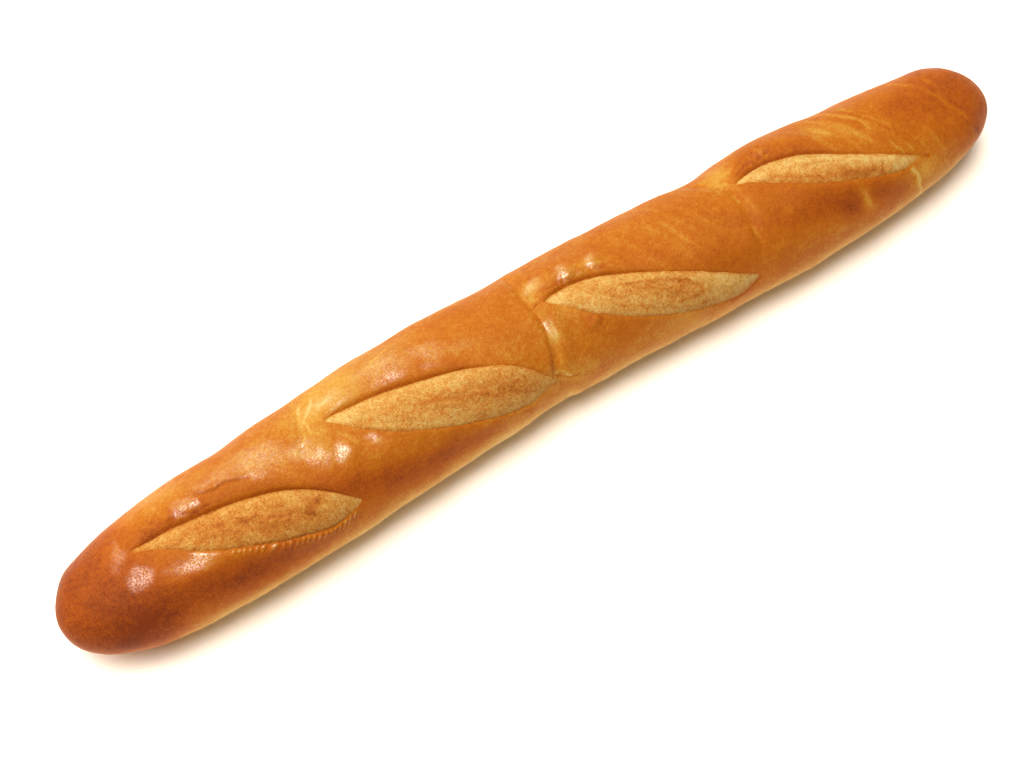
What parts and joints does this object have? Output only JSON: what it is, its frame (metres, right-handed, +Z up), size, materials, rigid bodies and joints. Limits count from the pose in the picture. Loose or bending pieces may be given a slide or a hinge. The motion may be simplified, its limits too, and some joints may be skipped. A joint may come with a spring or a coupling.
{
  "type": "bread loaf",
  "caption": "Short French stick loaf with rounded ends, slanting scored cuts with raised lips, and a flat underside that it rests on.",
  "frame": {"origin": "centre of the underside, on the plane that the loaf rests on", "axes": "+X along the loaf toward the end that the picture shows at upper right, +Z up out of the scored top"},
  "size_m": [0.5, 0.0712, 0.0542],
  "materials": {
    "crust": "golden-brown baked crust, satin with small glossy blisters"
  },
  "bodies": {
    "root": {"loaf": "crust"}
  },
  "joints": []
}
